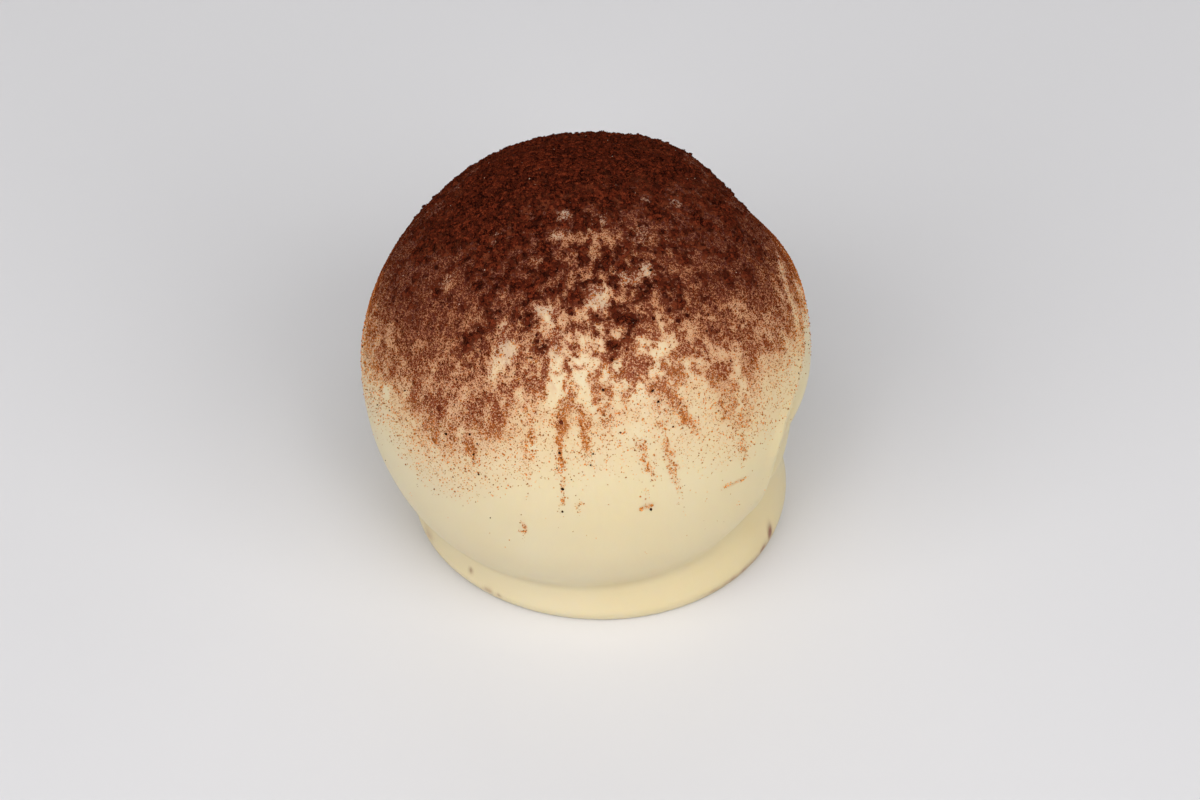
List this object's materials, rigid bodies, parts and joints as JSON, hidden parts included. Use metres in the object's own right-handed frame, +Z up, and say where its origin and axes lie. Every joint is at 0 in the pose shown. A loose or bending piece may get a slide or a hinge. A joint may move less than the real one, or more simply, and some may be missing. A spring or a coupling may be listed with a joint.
{
  "type": "chocolate truffle",
  "caption": "Round dipped sweet under a set white coating that pools into a foot at its flat base, with cocoa powder dusted over the top.",
  "frame": {"origin": "on the flat base, under the middle of the round body", "axes": "+Z up out of the base, -Y to the front that shows the most powder streaks, +X to the side with the lump and the groove"},
  "size_m": [0.0308, 0.0308, 0.0282],
  "materials": {
    "white_coating": "set white chocolate, satin",
    "cocoa_powder": "dry cocoa powder, matte"
  },
  "bodies": {
    "root": {"truffle": "white_coating"}
  },
  "joints": []
}
